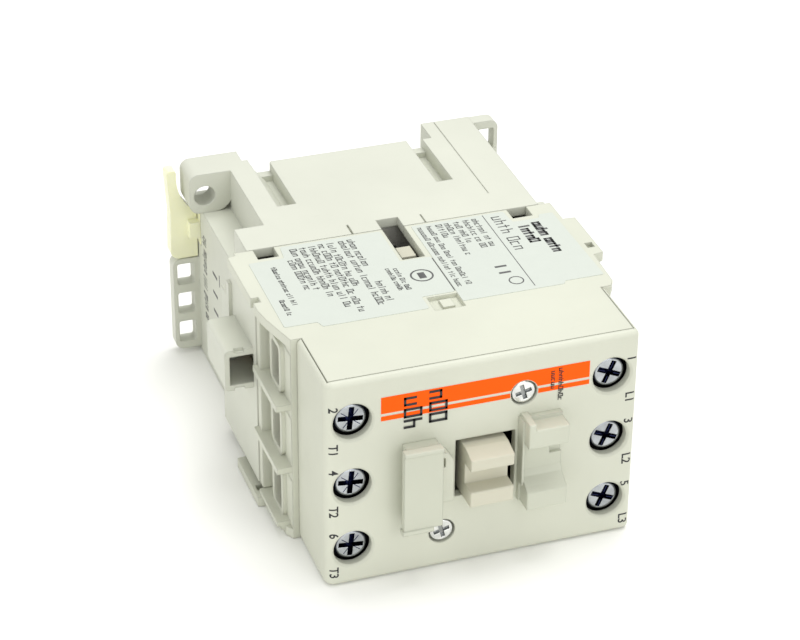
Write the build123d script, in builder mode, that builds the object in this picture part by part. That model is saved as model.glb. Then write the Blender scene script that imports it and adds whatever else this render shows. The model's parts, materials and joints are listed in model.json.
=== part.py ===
"""Three-pole magnetic motor starter (contactor), lying on its side.

Axes: +X towards the line terminals, -X towards the load terminals, -Y is the
front of the device, +Y the mounting side, +Z up.  All lengths are millimetres.
The sizes below count Y from the mounting plane; save() moves every piece by the
depth of the rail channel, so the finished origin is the centre of the rail seat.
"""
import os

from build123d import *

os.makedirs("parts", exist_ok=True)

# ---------------------------------------------------------------- overall sizes
width = 45.0                    # along Z, the width on the rail
front_depth = 92.6              # mounting plane to the face of the front cover
front_y = -front_depth          # the pole parts below are placed from this face
hook_rise = 4.9                 # front rails and hooks stand this far off the cover
cover_length = 61.6             # front cover along X
cover_depth = 17.0              # side walls of the front cover, front to back
housing_length = 64.0           # contact housing along X
plate_length = 69.6             # top and bottom plates of the contact housing
base_length = 61.0              # coil housing along X
base_depth = 41.2               # mounting plane to the joint with the contact housing
wall = 2.0                      # moulded walls
side_wall = 1.5                 # side walls of the front cover
skin = 2.1                      # top and bottom plates of the contact housing
seam = 0.2                      # joint gap between moulded parts
fit_gap = 0.1                   # radial gap round turning screws

# ---------------------------------------------------------------- pole layout
pole_pitch = 14.1
row_z = -0.5                    # height of the middle pole
pole_rows = [row_z + pole_pitch, row_z, row_z - pole_pitch]
terminal_x = 25.45              # terminal screws from the middle of the device
partition = 1.6                 # wall between two poles
bay_height = pole_pitch - partition

# ---------------------------------------------------------------- terminals
screw_hole_d = 7.5
screw_head_d = 6.6
screw_head_h = 2.7
cover_screw_y = front_y + 0.25  # face of the cover screws
screw_face_y = front_y + 1.5
screw_d = 5.0
bar_top_y = front_y + 20.1
bar_thick = 2.0
bar_width = 7.2
clamp_length = 7.0
clamp_width = 10.0
clamp_side = 1.0
clamp_top_y = front_y + 14.6
clamp_nut = 2.6
clamp_jaw_y = front_y + 27.8
clamp_jaw = 1.6
clamp_travel = 4.8
wire_entry_h = 8.4
wire_entry_d = 4.7
wire_entry_r = 1.0
bay_end_x = 30.2
bay_start_x = 20.0
bay_floor_y = front_y + 29.8
guide_plate_y = front_y + 4.25
guide_plate = 1.4

# ---------------------------------------------------------------- contacts
tip_height = 1.0
tip_length = 4.0
tip_width = 4.6
tip_x = 11.5
fixed_bar_y = front_y + 30.6   # front face of the inner end of each terminal bar
bridge_thick = 1.5
bridge_length = 28.0
bridge_width = 6.6
contact_gap = 3.05              # bridge travel of 3.0 leaves 0.05 to the fixed tips
fixed_bar_floor_y = fixed_bar_y + bar_thick
bridge_back_y = fixed_bar_y - tip_height - contact_gap - tip_height
bridge_front_y = bridge_back_y - bridge_thick

# ---------------------------------------------------------------- carrier and magnet
carrier_travel = 4.8
column_half = 6.0
column_front_y = front_y + 12.6
column_back_y = front_y + 31.6
window_front_y = front_y + 16.6
window_half = bridge_width / 2 + 0.3
neck_left = -4.2
neck_right = 4.35
neck_top = 4.7
neck_bottom = -6.55
prong_face_y = front_y - 5.2
prong_root_y = front_y - 1.7
prong = 3.3
cover_window = (-5.5, 6.4, -7.0, 5.6)
arc_floor_y = -55.5
arc_floor = 1.6
head_front_y = -51.0
head_back_y = -47.0
stack_half = 8.5                # laminations, half thickness along Z
yoke = 6.5
leg = 5.5
magnet_half = 21.0
centre_leg_half = 5.5
core_back_y = -9.5
core_leg_y = -27.0
armature_front_y = head_back_y
armature_leg_y = core_leg_y - carrier_travel - 0.2
bobbin_front_y = -35.2
bobbin_back_y = -16.4
bobbin_flange = 1.3
bobbin_half_x = 15.1
bobbin_half_z = 17.4
coil_screw_z = 6.1
tube_wall = 1.0
pin_d = 2.5
pin_y = -43.6

# ---------------------------------------------------------------- rail and mounting
rail_width = 35.0
rail_depth = 6.5
rail_lip = 1.0
channel_half = 19.8
land_half = 15.4                # flat land of the rail seat, half width along X
land_rise = 0.3
ear_hole_d = 4.5
ear_x = 30.0
ear_z = 17.5
ear_thick = 7.8
ear_low_z = 13.5
ear_plate = 4.8                 # thickness of the ear round the screw hole
ear_inner_x = 24.4
ear_outer_x = 33.2
pocket_front_y = -32.1
foot_thick = 3.0
foot_outer_x = 36.2
foot_top_z = 0.6
foot_bottom_z = -21.4
foot_pitch = 7.0

# ---------------------------------------------------------------- rail latch
latch_z = 8.8
latch_width = 8.4
latch_thick = 3.0
latch_y = -3.7
latch_gap = 0.2
latch_tip_x = -16.0
latch_travel = 3.5
latch_end_x = -30.55            # outer end of the part that slides in the housing
latch_window = (-28.6, -19.4)
finger_y = -3.2                 # front face of the finger plate
finger_thick = 3.0
post_thick = 1.8


def slab(xs, ys, zs, mode=Mode.ADD):
    """Box between pairs of limits, in the part being built."""
    centre = (sum(xs) / 2, sum(ys) / 2, sum(zs) / 2)
    with Locations(centre):
        Box(abs(xs[1] - xs[0]), abs(ys[1] - ys[0]), abs(zs[1] - zs[0]), mode=mode)


def both(side, lo, hi):
    """Limits lo..hi mirrored to the chosen side of the device."""
    return (side * lo, side * hi)


def rod(x, z, y0, y1, diameter, mode=Mode.ADD):
    """Round bar along Y between y0 and y1."""
    with BuildSketch(Plane.XZ.offset(-max(y0, y1))) as disc:
        with Locations((x, z)):
            Circle(diameter / 2)
    extrude(disc.sketch, amount=abs(y1 - y0), mode=mode)


def save(part, name):
    placed = part.moved(Location((0, rail_depth, 0)))
    placed.label = name
    export_step(placed, f"parts/{name}.step")


# ================================================================ front cover
def front_cover():
    half_x = cover_length / 2
    half_z = width / 2
    face = -front_depth
    back = face + cover_depth
    with BuildPart() as cover:
        slab((-half_x, half_x), (face, back), (-half_z, half_z))
        upright = cover.edges().filter_by(Axis.Z).group_by(Axis.Y)[0]
        fillet(upright.sort_by(Axis.X)[:1], radius=1.9)
        right_upright = cover.edges().filter_by(Axis.Z).group_by(Axis.Y)[0].sort_by(Axis.X)[-1]
        fillet(right_upright, radius=1.2)
        front_edges = cover.faces().sort_by(Axis.Y)[0].edges()
        fillet(front_edges, radius=1.15)
        # hollow for the contact housing, then rebates for its top and bottom plates
        inner = half_x - side_wall
        slab((-inner, inner), (face + wall, back), (-half_z, half_z), Mode.SUBTRACT)
        rebate = half_x - 0.8
        for side in (-1, 1):
            slab((-rebate, rebate), (face + 1.2, back),
                 both(side, half_z - skin - seam, half_z), Mode.SUBTRACT)
        # terminal screw holes with a chamfered rim
        for z in pole_rows:
            for side in (-1, 1):
                rod(side * terminal_x, z, face, face + wall, screw_hole_d, Mode.SUBTRACT)
        rims = cover.edges().filter_by(GeomType.CIRCLE).group_by(Axis.Y)[0]
        chamfer([e for e in rims if abs(e.radius - screw_hole_d / 2) < 0.01], length=0.45)
        # opening for the contact carrier
        x0, x1, z0, z1 = cover_window
        slab((x0, x1), (face, face + wall), (z0, z1), Mode.SUBTRACT)
        # small keeper bracket beside the opening
        with BuildSketch(Plane.XZ.offset(-face)) as bracket:
            with BuildLine():
                Polyline((-9.4, row_z - 5.9), (-6.4, row_z - 5.9), (-6.4, row_z + 3.2),
                         (-7.6, row_z + 5.0), (-9.4, row_z + 5.0), (-9.4, row_z - 5.9))
            make_face()
        extrude(bracket.sketch, amount=1.9)
        slab((-8.9, -8.1), (face - 1.9, face - 0.7), (row_z + 1.9, row_z + 3.9), Mode.SUBTRACT)
        # holes for the two cover screws
        for x, z in cover_screw_spots:
            rod(x, z, face, face + 1.3, 5.3, Mode.SUBTRACT)
            rod(x, z, face + 1.2, face + wall, 3.0, Mode.SUBTRACT)
    return cover.part


cover_screw_spots = [(7.85, row_z + 13.9), (-7.9, row_z - 13.9)]


def left_front_rail():
    face = -front_depth
    plate_y = face - hook_rise + 0.4
    middle = row_z - 0.5
    with BuildPart() as rail:
        slab((-15.9, -9.4), (plate_y, face), (middle - 7.9, middle + 8.0))
        slab((-17.0, -9.4), (plate_y, face - 3.1), (middle - 8.7, middle + 8.7))
        # thin ledges along the top and the bottom of the plate
        slab((-17.0, -9.4), (face - hook_rise, face - 3.1), (middle + 7.9, middle + 8.7))
        slab((-17.3, -11.2), (face - hook_rise, face - 3.1), (middle - 9.4, middle - 8.6))
        for z in (middle + 8.7, middle - 8.6):
            lip = rail.edges().filter_by(Axis.X).filter_by(
                lambda e: abs(e.center().Z - z) < 0.01 and e.center().Y < face - hook_rise + 0.01)
            fillet(lip, radius=0.25)
    return rail.part


def right_front_hook():
    face = -front_depth
    with BuildPart() as hook:
        slab((6.9, 15.3), (face - 1.2, face), (row_z - 9.4, row_z + 9.0))
        slab((7.3, 15.3), (face - hook_rise, face), (row_z + 4.3, row_z + 8.3))
        slab((7.3, 8.7), (face - hook_rise, face), (row_z + 8.0, row_z + 9.6))
        slab((6.9, 7.4), (face - 2.6, face), (row_z - 5.1, row_z + 9.0))
        with BuildSketch(Plane.YZ.offset(7.3)) as ramp:
            with BuildLine():
                Polyline((face, row_z - 9.4), (face - hook_rise, row_z - 9.4),
                         (face - hook_rise, row_z - 5.6), (face - 3.6, row_z - 4.9),
                         (face - 1.9, row_z - 3.7), (face - 1.2, row_z - 2.4),
                         (face, row_z - 2.4), (face, row_z - 9.4))
            make_face()
        extrude(ramp.sketch, amount=8.0)
        slab((12.9, 15.4), (face - 1.3, face - 0.5), (row_z + 0.3, row_z + 4.1), Mode.SUBTRACT)
        outer = hook.faces().filter_by(Axis.Y).group_by(Axis.Y)[0].edges()
        fillet(outer, radius=0.35)
    return hook.part


# ================================================================ contact housing
def contact_housing():
    half_z = width / 2
    inner_z = half_z - skin
    back = -base_depth
    cover_back = -front_depth + cover_depth
    plug = cover_length / 2 - side_wall - seam
    half_x = housing_length / 2
    with BuildPart() as body:
        # block that plugs into the cover, and the wider block behind it
        slab((-plug, plug), (-front_depth + wall + 0.3, cover_back + seam), (-inner_z, inner_z))
        slab((-half_x, half_x), (cover_back + seam, back), (-inner_z, inner_z))
        for side in (-1, 1):
            flush = cover_length / 2 - 0.8 - seam
            slab((-flush, flush), (-front_depth + 1.2 + seam, cover_back + seam),
                 both(side, inner_z, half_z))
            with BuildSketch(Plane.XY.offset(inner_z if side > 0 else -half_z)):
                with BuildLine():
                    edge = plate_length / 2
                    outline = [(-half_x, cover_back + seam), (half_x, cover_back + seam),
                               (half_x + 1.0, cover_back + 1.8), (half_x + 1.4, back - 22.2),
                               (edge + 0.7, back - 21.8), (edge + 0.7, back - 7.2),
                               (half_x + 1.0, back - 7.0), (half_x + 1.0, back),
                               (1.6 - edge, back), (1.6 - edge, back - 1.0),
                               (-edge, back - 1.2), (-edge, cover_back + 12.0),
                               (0.6 - edge, cover_back + 8.5), (-half_x, cover_back + seam)]
                    Polyline(*[(side * x, y) for x, y in outline])
                make_face()
            extrude(amount=skin)
        # barrier ribs and bottom flanges on both ends
        rib_ys = (bar_top_y - 1.1, bar_top_y + 11.1)
        for side in (-1, 1):
            for z in (row_z + pole_pitch / 2, row_z - pole_pitch / 2):
                slab(both(side, half_x - 0.5, 35.0), (cover_back + 0.3, bar_top_y + 12.8),
                     (z + 0.4, z + 1.7))
            slab(both(side, half_x - 0.5, 33.9), rib_ys, (-21.2, -20.0))
            slab(both(side, half_x - 0.5, 34.7), rib_ys, (-20.4, -19.4))
        # terminal faces stand a little off the ends
        for side in (-1, 1):
            for z in pole_rows:
                slab(both(side, half_x - 0.4, half_x + 0.1), (cover_back + 0.3, bar_top_y + 12.6),
                     (z - 5.4, z + 5.4))
                # raised rim round the wire entry
                with BuildSketch(Plane.YZ.offset(side * half_x)) as rim:
                    with Locations((bar_top_y + bar_thick + wire_entry_d / 2, z)):
                        RectangleRounded(wire_entry_d + 2.4, wire_entry_h + 2.2,
                                         wire_entry_r + 0.6)
                extrude(rim.sketch, amount=side * 0.9)
            # strip that stands flush with the cheek of the coil housing
            slab(both(side, half_x - 0.4, half_x + 2.0), (bar_top_y + 10.8, bar_top_y + 12.85),
                 (-19.2, 20.3))
        hollow_contact_housing()
        cut_plate_details(inner_z, half_z, back)
    return body.part


def hollow_contact_housing():
    """Cavities of the contact housing, cut from the block being built."""
    half_z = width / 2
    inner_z = half_z - skin
    mouth = -front_depth
    half_bay = bay_height / 2
    for z in pole_rows:
        bay = (max(z - half_bay, -inner_z + 0.01), min(z + half_bay, inner_z - 0.01))
        for side in (-1, 1):
            # bay of the terminal clamp, in front of and behind the screw guide
            slab(both(side, bay_start_x, cover_length / 2), (mouth, guide_plate_y), bay,
                 Mode.SUBTRACT)
            clamp_front = guide_plate_y + guide_plate
            slab(both(side, bay_start_x, cover_length / 2), (clamp_front, clamp_top_y + 2.4), bay,
                 Mode.SUBTRACT)
            slab(both(side, bay_start_x, bay_end_x), (clamp_top_y + 2.2, bay_floor_y), bay, Mode.SUBTRACT)
            rod(side * terminal_x, z, guide_plate_y, clamp_front, screw_d + 2 * fit_gap,
                Mode.SUBTRACT)
            # wire entry with rounded ends, and the narrow slot behind it
            wire_entry(side, z)
            # arc chamber, open to the carrier slot
            slab(both(side, column_half - 1.0, 18.6), (mouth, fixed_bar_floor_y), bay,
                 Mode.SUBTRACT)
            # passage for the terminal bar
            slab(both(side, 18.0, bay_start_x + 0.5), (bar_top_y, fixed_bar_floor_y),
                 (z - bar_width / 2, z + bar_width / 2), Mode.SUBTRACT)
            slab(both(side, bay_start_x, bay_end_x), (bar_top_y, bar_top_y + bar_thick),
                 (z - bar_width / 2, z + bar_width / 2), Mode.SUBTRACT)
    # carrier slot and the hole in the arc floor for its stem
    slot = column_half + 0.3
    rows = (pole_rows[-1] - half_bay + 0.2, pole_rows[0] + half_bay - 0.2)
    rows = (max(rows[0], -inner_z + 0.01), min(rows[1], inner_z - 0.01))
    slab((-slot, slot), (mouth, arc_floor_y), rows, Mode.SUBTRACT)
    slab((-4.9, 4.9), (arc_floor_y, -base_depth), (row_z - 7.9, row_z + 7.9), Mode.SUBTRACT)
    # room for the armature behind the arc floor
    slab((-28.0, 28.0), (arc_floor_y + arc_floor, -base_depth), (-inner_z, inner_z),
         Mode.SUBTRACT)
    # slots for the two coil strips
    for turn in (-1, 1):
        slab(both(-turn, 27.5, housing_length / 2 + 0.1), (-47.6, -46.2), both(turn, 3.1, 8.9),
             Mode.SUBTRACT)
    # bosses for the two cover screws
    for x, z in cover_screw_spots:
        pole = min(pole_rows, key=lambda row: abs(row - z))
        slab((x - 2.7, x + 2.7), (front_y + wall + 0.3, front_y + 8.6),
             (pole - half_bay, pole + half_bay))
        rod(x, z, front_y, front_y + 8.0, 2.7, Mode.SUBTRACT)


def wire_entry(side, z):
    """Wire opening through one end wall, with the narrow slot behind it."""
    outer = housing_length / 2 + 2.2
    start = Plane.YZ.offset(side * outer)
    with BuildSketch(start) as openings:
        with Locations((bar_top_y + bar_thick + wire_entry_d / 2, z)):
            RectangleRounded(wire_entry_d, wire_entry_h, wire_entry_r)
        with Locations((bar_top_y + 9.5, z)):
            Rectangle(1.9, wire_entry_h - 1.4)
    extrude(openings.sketch, amount=-side * (outer - bay_end_x + 0.3), mode=Mode.SUBTRACT)


def cut_plate_details(inner_z, half_z, back):
    """Openings and notches in the top and bottom plates."""
    for side in (-1, 1):
        through = both(side, inner_z - 1.0, half_z)
        for x in (-27.2 * side, 25.7 * side):
            slab((x - 2.1, x + 2.1), (back - 3.8, back), through, Mode.SUBTRACT)
        slab((-2.7, 1.9), (-53.8, back), through, Mode.SUBTRACT)
        slab((-3.1, 3.0), (-73.9, -68.9), both(side, half_z - 0.9, half_z), Mode.SUBTRACT)
        slab((-1.0, 1.4), (-72.6, -69.8), both(side, half_z - 0.9, half_z - 0.35))
        for end in (-1, 1):
            slab(both(end, plate_length / 2 - 1.5, plate_length / 2), (-60.6, -58.7),
                 through, Mode.SUBTRACT)


# ================================================================ coil housing
def base_housing():
    half_z = width / 2
    half_x = base_length / 2
    front = -base_depth + seam
    cavity_floor = -rail_depth - wall
    with BuildPart() as base:
        slab((-half_x, half_x), (front, 0), (-half_z, half_z))
        # solid ends that carry the ears, the rail hook and the latch guide
        slab((-half_x + wall, half_x - wall), (front, cavity_floor), (-half_z + wall, half_z - wall),
             Mode.SUBTRACT)
        # channel for the mounting rail
        slab((-channel_half, channel_half), (-rail_depth, 0), (-half_z, half_z), Mode.SUBTRACT)
        slab((-channel_half - 1.2, -channel_half), (-4.4, 0), (-half_z, half_z), Mode.SUBTRACT)
        slab((rail_width / 2 + 0.15, channel_half), (-rail_depth - 0.1, -2.6), (-18.0, 18.0))
        # the rail rests on a land in the middle of the channel floor
        for side in (-1, 1):
            slab(both(side, land_half, channel_half), (-rail_depth - land_rise, -rail_depth),
                 (-half_z, half_z), Mode.SUBTRACT)
        for z in (-11.0, 11.0):
            slab((rail_width / 2 - 1.6, rail_width / 2 + 0.15),
                 (-rail_depth + rail_lip + 0.2, -2.6), (z - 5.0, z + 5.0))
        # thick strips under the two pairs of guide slots, then the slots
        for side in (-1, 1):
            for end in (-1, 1):
                slab(both(end, 13.2, 20.9), (-27.4, cavity_floor), both(side, 17.9, half_z - wall))
            guide_slot(side, -15.7, -19.7)
            guide_slot(side, 17.8, 14.3)
            # thin mould line and two short slits by the centre opening
            slab(both(side, 22.55, 22.75), (-33.6, 0), both(side, half_z - 0.15, half_z),
                 Mode.SUBTRACT)
            slab(both(side, -8.9, -8.5), (front, -37.2), both(side, half_z - 0.6, half_z),
                 Mode.SUBTRACT)
            slab(both(side, 6.4, 6.7), (front, -37.6), both(side, half_z - 0.4, half_z),
                 Mode.SUBTRACT)
        # screwdriver pockets in front of the two mounting ears
        for turn in (-1, 1):
            slab(both(-turn, ear_inner_x, half_x), (pocket_front_y, -ear_thick + 2.0),
                 both(turn, ear_low_z, half_z), Mode.SUBTRACT)
            pocket_walls(turn)
            mounting_ear(turn)
            lattice_foot(turn)
            end_cheek(turn)
        latch_guide()
        # cradle that locates the fixed magnet
        for side in (-1, 1):
            for end in (-1, 1):
                slab(both(end, 9.0, magnet_half), (cavity_floor - 7.6, cavity_floor),
                     both(side, stack_half + 0.1, stack_half + 1.7))
        # opening for the actuating tab of the carrier
        for side in (-1, 1):
            slab((-2.7, 1.9), (front, -37.2), both(side, half_z - wall - 0.5, half_z),
                 Mode.SUBTRACT)
    return base.part


def guide_slot(side, deep, shallow):
    """One ramped guide slot in the top or bottom of the coil housing."""
    half_z = width / 2
    toward = 1 if shallow > deep else -1
    with BuildSketch(Plane.XZ.offset(9.0)) as ramp:
        with BuildLine():
            outline = [(deep, half_z - 3.2), (deep + toward * 1.4, half_z - 3.2),
                       (shallow, half_z), (deep, half_z), (deep, half_z - 3.2)]
            Polyline(*[(side * x, side * z) for x, z in outline])
        make_face()
    extrude(ramp.sketch, amount=16.6, mode=Mode.SUBTRACT)
    slab(both(side, deep, shallow), (-9.0, -6.4), both(side, half_z - 2.0, half_z), Mode.SUBTRACT)


def pocket_walls(turn):
    """Inner walls that close the screwdriver pocket off from the coil space."""
    half_z = width / 2
    half_x = base_length / 2
    slab(both(-turn, ear_inner_x - 1.6, half_x - 0.1), (pocket_front_y - 1.6, -8.0),
         both(turn, ear_low_z - 1.6, ear_low_z))
    slab(both(-turn, ear_inner_x - 1.6, ear_inner_x), (pocket_front_y - 1.6, -8.0),
         both(turn, ear_low_z - 1.6, half_z - 0.1))
    slab(both(-turn, ear_inner_x - 1.6, half_x - 0.1), (pocket_front_y - 1.6, pocket_front_y),
         both(turn, ear_low_z - 1.6, half_z - 0.1))


def mounting_ear(turn):
    """Ear with the screw hole, at one of two opposite corners."""
    half_z = width / 2
    low = ear_low_z + 0.05
    with BuildSketch(Plane.XZ.offset(0)) as ear:
        with BuildLine():
            Polyline(*[(-turn * x, turn * z) for x, z in
                       [(ear_inner_x - 0.3, half_z), (ear_outer_x, half_z), (ear_outer_x, low),
                        (ear_inner_x - 0.3, low), (ear_inner_x - 0.3, half_z)]])
        make_face()
        corners = ear.vertices()
        outer = corners.filter_by(lambda v: abs(v.X) > ear_outer_x - 0.1)
        fillet(outer, radius=2.0)
        inner = ear.vertices().filter_by(
            lambda v: abs(v.X) < ear_inner_x and abs(v.Y) < half_z - 1)
        fillet(inner, radius=3.6)
    extrude(ear.sketch, amount=ear_thick)
    rod(-turn * ear_x, turn * ear_z, -ear_thick, 0, ear_hole_d, Mode.SUBTRACT)
    # the ear is hollow behind its plate
    slab(both(-turn, ear_x - 3.2, ear_x + 2.5), (ear_plate - ear_thick, 0),
         both(turn, ear_z - 3.0, ear_z + 3.6), Mode.SUBTRACT)


def lattice_foot(turn):
    """Open foot with three square windows, beside each ear's opposite corner."""
    half_x = base_length / 2
    lift = 0.0 if turn > 0 else -1.0
    with BuildSketch(Plane.XZ.offset(0)) as foot:
        with BuildLine():
            Polyline(*[(-turn * x, turn * (z + lift)) for x, z in
                       [(half_x - 0.4, foot_bottom_z), (foot_outer_x, foot_bottom_z),
                        (foot_outer_x, foot_top_z), (half_x - 0.4, foot_top_z),
                        (half_x - 0.4, foot_bottom_z)]])
        make_face()
        fillet(foot.vertices().filter_by(lambda v: abs(v.X) > foot_outer_x - 0.1), radius=1.8)
        for row in range(3):
            z = foot_bottom_z + 4.3 + foot_pitch * row + lift
            with Locations((-turn * (half_x + 3.0), turn * z)):
                RectangleRounded(3.6, 5.0, 0.5, mode=Mode.SUBTRACT)
    extrude(foot.sketch, amount=foot_thick)


def end_cheek(turn):
    """Side wall that reaches forward over the contact housing, with the coil terminal box."""
    inner = housing_length / 2 + 0.2
    outer = inner + 2.0
    half_x = base_length / 2
    top = width / 2 - skin - 0.2
    slab(both(-turn, half_x - 0.4, outer), (-base_depth + 0.3, -base_depth + 6.5),
         both(turn, -19.2, 12.0))
    slab(both(-turn, inner, outer), (-59.4, -base_depth + 6.5), both(turn, -19.2, 12.0))
    slab(both(-turn, inner, outer), (-59.4, -base_depth + 0.3), both(turn, 12.0, top))
    # upright rib on the outside
    slab(both(-turn, outer - 0.1, outer + 0.7), (-43.0, -41.4), both(turn, 9.2, 17.0))
    # open-fronted box round the coil terminal, with two rounded edges
    with BuildSketch(Plane.XZ.offset(44.6)) as box:
        with BuildLine():
            Polyline(*[(-turn * x, turn * z) for x, z in
                       [(outer - 0.3, 1.7), (39.9, 1.7), (39.9, 10.7), (outer - 0.3, 10.7),
                        (outer - 0.3, 1.7)]])
        make_face()
        fillet(box.vertices().filter_by(lambda v: abs(v.X) > 39.8), radius=0.9)
    extrude(box.sketch, amount=12.8)
    slab(both(-turn, inner, 38.9), (-57.4, -46.4), both(turn, 2.9, 9.3), Mode.SUBTRACT)
    rod(-turn * 36.3, turn * coil_screw_z, -46.5, -45.7, 3.2, Mode.SUBTRACT)
    # notched rim of the box
    for z in (1.7, 10.1):
        slab(both(-turn, 36.0, 38.0), (-57.4, -56.6), both(turn, z, z + 0.6), Mode.SUBTRACT)
    # hole for the coil strip
    slab(both(-turn, inner - 0.3, outer + 0.1), (-47.6, -46.3), both(turn, 3.1, 8.9),
         Mode.SUBTRACT)


def latch_guide():
    """Guide slot and spring post for the rail latch."""
    low = latch_z - latch_width / 2 - latch_gap
    high = latch_z + latch_width / 2 + latch_gap
    half = latch_thick / 2 + latch_gap
    slab((-40.0, -channel_half + 0.1), (latch_y - half, latch_y + half), (low, high), Mode.SUBTRACT)
    post = (latch_window[0] + 0.15, latch_window[0] + 0.15 + post_thick)
    slab(post, (latch_y - half - 0.1, latch_y + half + 0.1), (latch_z - 1.9, latch_z + 1.9))


# ================================================================ rail latch
def din_latch():
    half = latch_width / 2
    with BuildPart() as latch:
        slab((latch_end_x, latch_tip_x), (latch_y - latch_thick / 2, latch_y + latch_thick / 2),
             (latch_z - half, latch_z + half))
        # sloping nose that rides over the rail edge
        with BuildSketch(Plane.XY.offset(latch_z - half)):
            with BuildLine():
                back = latch_y + latch_thick / 2
                Polyline((latch_tip_x, back), (latch_tip_x - 2.4, back),
                         (latch_tip_x, back - 2.0), (latch_tip_x, back))
            make_face()
        extrude(amount=latch_width, mode=Mode.SUBTRACT)
        slab(latch_window, (latch_y - 2, latch_y + 2), (latch_z - 2.2, latch_z + 2.2),
             Mode.SUBTRACT)
        # finger plate outside the housing, with its upright tongue
        with BuildSketch(Plane.XZ.offset(-finger_y - finger_thick)) as plate:
            with BuildLine():
                start = Line((-30.75, 11.4), (-30.75, 1.0))
                Polyline((-30.75, 1.0), (-36.6, 1.0), (-36.3, 12.0), (-36.9, 21.7),
                         (-34.6, 21.7))
                ThreePointArc((-34.6, 21.7), (-33.5, 14.6), start @ 0)
            make_face()
            low_corner = plate.vertices().sort_by(Axis.Y)[:2].sort_by(Axis.X)[0]
            fillet(low_corner, radius=1.8)
            fillet(plate.vertices().sort_by(Axis.Y)[-2:], radius=0.8)
        extrude(plate.sketch, amount=finger_thick)
        # neck that joins the plate to the sliding part, seen as a raised pad
        slab((-32.8, latch_end_x + 0.1), (latch_y - latch_thick / 2, latch_y + latch_thick / 2),
             (6.2, 10.0))
        slab((-32.8, -30.75), (latch_y - latch_thick / 2, finger_y + 1.5), (6.2, 10.0))
    return latch.part


def coil_spring(start, direction, length, radius, wire, turns):
    """Helical compression spring from a start point along a direction."""
    usable = length - wire
    with BuildPart() as spring:
        with BuildLine() as line:
            Helix(pitch=usable / turns, height=usable, radius=radius - wire / 2)
        path = line.line
        with BuildSketch(Plane(origin=path @ 0, z_dir=path % 0)):
            Circle(wire / 2)
        sweep(path=path, is_frenet=True)
    return spring.part.moved(Plane(origin=start, z_dir=direction).offset(wire / 2).location)


# ================================================================ carrier group
def contact_carrier():
    low = pole_rows[-1] - window_half - 1.4
    high = pole_rows[0] + window_half + 1.4
    with BuildPart() as carrier:
        slab((-column_half, column_half), (column_front_y, column_back_y), (low, high))
        for z in pole_rows:
            slab((-column_half, column_half), (window_front_y, bridge_back_y),
                 (z - window_half, z + window_half), Mode.SUBTRACT)
        # stem and head behind the contacts
        slab((-4.5, 4.5), (column_back_y, head_front_y), (row_z - 7.5, row_z + 7.5))
        slab((-12.0, 12.0), (head_front_y, head_back_y), (-stack_half, stack_half))
        slab((-4.0, 4.0), (head_front_y, head_back_y), (-16.8, 16.8))
        slab((-1.9, 1.1), (head_front_y, head_back_y), (-21.3, 21.3))
        for side in (-1, 1):
            slab((-4.0, 4.0), (head_back_y, pin_y + 2.4),
                 both(side, stack_half + 0.05, stack_half + 2.2))
        pin_hole = Plane(origin=(0, pin_y, -stack_half - 2.2), z_dir=(0, 0, 1))
        with BuildSketch(pin_hole):
            Circle(pin_d / 2)
        extrude(amount=2 * stack_half + 4.4, mode=Mode.SUBTRACT)
        # neck and the two prongs seen in the cover
        slab((neck_left, neck_right), (prong_root_y, column_front_y), (neck_bottom, neck_top))
        slab((neck_left, neck_right), (prong_face_y, prong_root_y), (neck_bottom, neck_bottom + prong))
        with BuildSketch(Plane.YZ.offset(neck_left)):
            with BuildLine():
                Polyline((prong_root_y, neck_top - prong), (prong_face_y, neck_top - prong),
                         (prong_face_y, neck_top - 0.9), (prong_root_y, neck_top),
                         (prong_root_y, neck_top - prong))
            make_face()
        extrude(amount=neck_right - neck_left)
        tips = carrier.faces().filter_by(Axis.Y).group_by(Axis.Y)[0].edges()
        fillet(tips, radius=0.3)
    return carrier.part


def e_core(back_y, yoke_y, leg_y, name):
    """Laminated E-shaped core; back_y is the outer face of the yoke."""
    sign = 1 if leg_y < back_y else -1
    with BuildPart() as core:
        slab((-magnet_half, magnet_half), (back_y, yoke_y), (-stack_half, stack_half))
        for x in (-magnet_half + leg / 2, 0, magnet_half - leg / 2):
            half = centre_leg_half if x == 0 else leg / 2
            slab((x - half, x + half), (yoke_y, leg_y), (-stack_half, stack_half))
        corners = core.edges().filter_by(Axis.Z).group_by(Axis.Y)
        chamfer(corners[-1] if sign > 0 else corners[0], length=1.0)
        if name == "fixed_magnet":
            # grooves for the shading rings in the pole faces of the outer legs
            for end in (-1, 1):
                for x in (magnet_half - leg + 0.9, magnet_half - 1.9):
                    slab(both(end, x, x + 1.0), (leg_y, leg_y + 1.6), (-stack_half, stack_half),
                         Mode.SUBTRACT)
        if name == "armature":
            with BuildSketch(Plane(origin=(0, pin_y, -stack_half), z_dir=(0, 0, 1))):
                Circle(pin_d / 2)
            extrude(amount=2 * stack_half, mode=Mode.SUBTRACT)
    return core.part


def shading_rings():
    with BuildPart() as rings:
        for end in (-1, 1):
            x0 = magnet_half - leg + 0.9
            x1 = magnet_half - 0.9
            ring_y = (core_leg_y + 0.1, core_leg_y + 1.6)
            reach = stack_half + 0.9
            slab(both(end, x0, x1), ring_y, (-reach, reach))
            slab(both(end, x0 + 1.0, x1 - 1.0), ring_y, (-reach + 0.9, reach - 0.9), Mode.SUBTRACT)
    return rings.part


def magnet_pads():
    with BuildPart() as pads:
        for x in (-16.0, 0.0, 16.0):
            slab((x - 3.5, x + 3.5), (core_back_y, -rail_depth - wall), (-7.0, 7.0))
    return pads.part


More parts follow.
